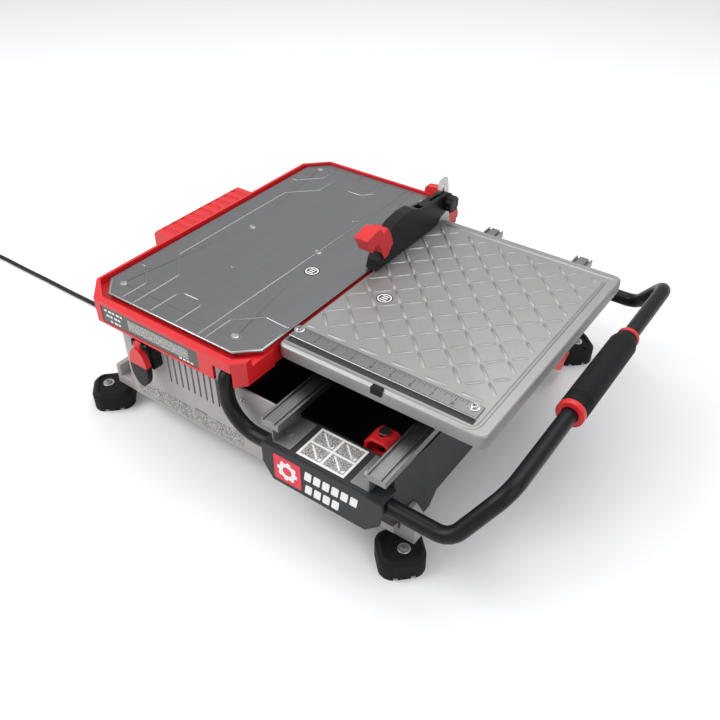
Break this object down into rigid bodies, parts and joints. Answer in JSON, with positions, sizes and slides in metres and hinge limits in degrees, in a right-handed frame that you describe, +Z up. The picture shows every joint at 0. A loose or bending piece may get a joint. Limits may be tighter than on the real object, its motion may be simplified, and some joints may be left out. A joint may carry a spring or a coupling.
{
  "type": "wet tile saw with sliding table",
  "caption": "Low table-top wet tile cutter: red deck tray with steel plate, sliding aluminium table on rails, guarded diamond blade, roll cage handle, power cord.",
  "frame": {"origin": "on the floor under the middle of the saw, measured without the free cord", "axes": "+X to the right towards the roll cage handle, +Y from the operator to the back along the table travel, +Z up"},
  "size_m": [1.1626, 0.5322, 0.2505],
  "materials": {
    "grey_shell": "light warm grey moulded plastic",
    "dark_panel": "dark grey moulded plastic",
    "black_plastic": "black moulded plastic",
    "foot_rubber": "black rubber",
    "red_plastic": "red moulded plastic",
    "deck_steel": "brushed stainless sheet",
    "table_aluminium": "satin cast aluminium",
    "rail_aluminium": "extruded aluminium",
    "screw_steel": "zinc plated steel",
    "machined_steel": "ground steel",
    "cast_housing": "cast aluminium",
    "copper_core": "copper windings on steel laminations",
    "black_tube": "black powder coated steel tube",
    "roller_nylon": "nylon",
    "cord_black": "black flexible cord"
  },
  "bodies": {
    "base": {"base_shell": "grey_shell", "corner_legs": "grey_shell", "water_pan": "black_plastic", "front_shelf": "black_plastic", "right_panel": "dark_panel", "rubber_feet": "foot_rubber", "foot_bolts": "screw_steel", "deck_tray": "red_plastic", "deck_plate": "deck_steel", "deck_screws": "screw_steel", "side_handle": "red_plastic", "rear_hump": "red_plastic", "rails": "rail_aluminium", "rail_brackets": "dark_panel", "rail_screws": "screw_steel", "motor_housing": "cast_housing", "motor_cap": "cast_housing", "stator": "copper_core", "bearings": "machined_steel", "brushes": "black_plastic", "riving_knife": "machined_steel", "knife_bracket": "cast_housing", "knife_screws": "screw_steel", "roll_cage": "black_tube", "tube_clamps": "dark_panel", "grip": "foot_rubber", "grip_collars": "red_plastic", "badge_plate": "black_plastic", "switch_box": "black_plastic", "switch_module": "dark_panel", "paddle_pin": "machined_steel", "latch_bracket": "black_plastic", "latch_post": "machined_steel", "strain_relief": "cord_black", "cord_tube": "cord_black", "cord_coil": "cord_black", "power_plug": "cord_black"},
    "table": {"slide_table": "table_aluminium", "ruler": "table_aluminium", "ruler_bolts": "screw_steel", "table_stop": "black_plastic", "carriages": "cast_housing", "roller_axles": "machined_steel"},
    "wheel_front_left": {"roller_front_left": "roller_nylon"},
    "wheel_rear_left": {"roller_rear_left": "roller_nylon"},
    "wheel_front_right": {"roller_front_right": "roller_nylon"},
    "wheel_rear_right": {"roller_rear_right": "roller_nylon"},
    "spindle": {"rotor": "copper_core", "arbor": "machined_steel", "blade": "machined_steel", "flanges": "machined_steel", "arbor_nut": "machined_steel"},
    "guard_carrier": {"guard_bolt": "screw_steel"},
    "guard": {"blade_guard": "black_plastic", "guard_nose": "red_plastic"},
    "clamp_knob": {"guard_knob": "black_plastic"},
    "paddle": {"paddle_top": "red_plastic", "paddle_base": "black_plastic"},
    "latch": {"table_latch": "red_plastic"},
    "drain": {"drain_plug": "red_plastic"}
  },
  "joints": [
    {"name": "table_slide", "type": "slide", "parent": "base", "child": "table", "axis": [0, 1, 0], "range_m": [-0.14, 0.14]},
    {"name": "blade_spin", "type": "hinge", "parent": "base", "child": "spindle", "pos_m": [-0.011, 0.0776, 0.144], "axis": [1, 0, 0], "continuous": true},
    {"name": "guard_height", "type": "slide", "parent": "base", "child": "guard_carrier", "axis": [0, 0, 1], "range_m": [0, 0.02]},
    {"name": "guard_tilt", "type": "hinge", "parent": "guard_carrier", "child": "guard", "pos_m": [-0.011, 0.1656, 0.216], "axis": [-1, 0, 0], "range_deg": [0, 30]},
    {"name": "knob_turn", "type": "hinge", "parent": "guard_carrier", "child": "clamp_knob", "pos_m": [0.003, 0.1656, 0.216], "axis": [1, 0, 0], "range_deg": [0, 180]},
    {"name": "paddle_swing", "type": "hinge", "parent": "base", "child": "paddle", "pos_m": [-0.18, -0.2504, 0.1495], "axis": [-1, 0, 0], "range_deg": [-4, 25]},
    {"name": "latch_turn", "type": "hinge", "parent": "base", "child": "latch", "pos_m": [0.134, -0.1849, 0.112], "axis": [0, 0, 1], "range_deg": [0, 60]},
    {"name": "drain_pull", "type": "slide", "parent": "base", "child": "drain", "axis": [1, 0, 0], "range_m": [0, 0.02]},
    {"name": "roll_front_left", "type": "hinge", "parent": "table", "child": "wheel_front_left", "pos_m": [0.034, -0.0594, 0.1553], "axis": [1, 0, 0], "range_deg": [-810, 810]},
    {"name": "roll_rear_left", "type": "hinge", "parent": "table", "child": "wheel_rear_left", "pos_m": [0.034, 0.0956, 0.1553], "axis": [1, 0, 0], "range_deg": [-810, 810]},
    {"name": "roll_front_right", "type": "hinge", "parent": "table", "child": "wheel_front_right", "pos_m": [0.174, -0.0594, 0.1553], "axis": [1, 0, 0], "range_deg": [-810, 810]},
    {"name": "roll_rear_right", "type": "hinge", "parent": "table", "child": "wheel_rear_right", "pos_m": [0.174, 0.0956, 0.1553], "axis": [1, 0, 0], "range_deg": [-810, 810]}
  ],
  "couplings": [
    {"joint": "roll_front_left", "follows": "table_slide", "rad_per_m": -100},
    {"joint": "roll_rear_left", "follows": "table_slide", "rad_per_m": -100},
    {"joint": "roll_front_right", "follows": "table_slide", "rad_per_m": -100},
    {"joint": "roll_rear_right", "follows": "table_slide", "rad_per_m": -100}
  ]
}
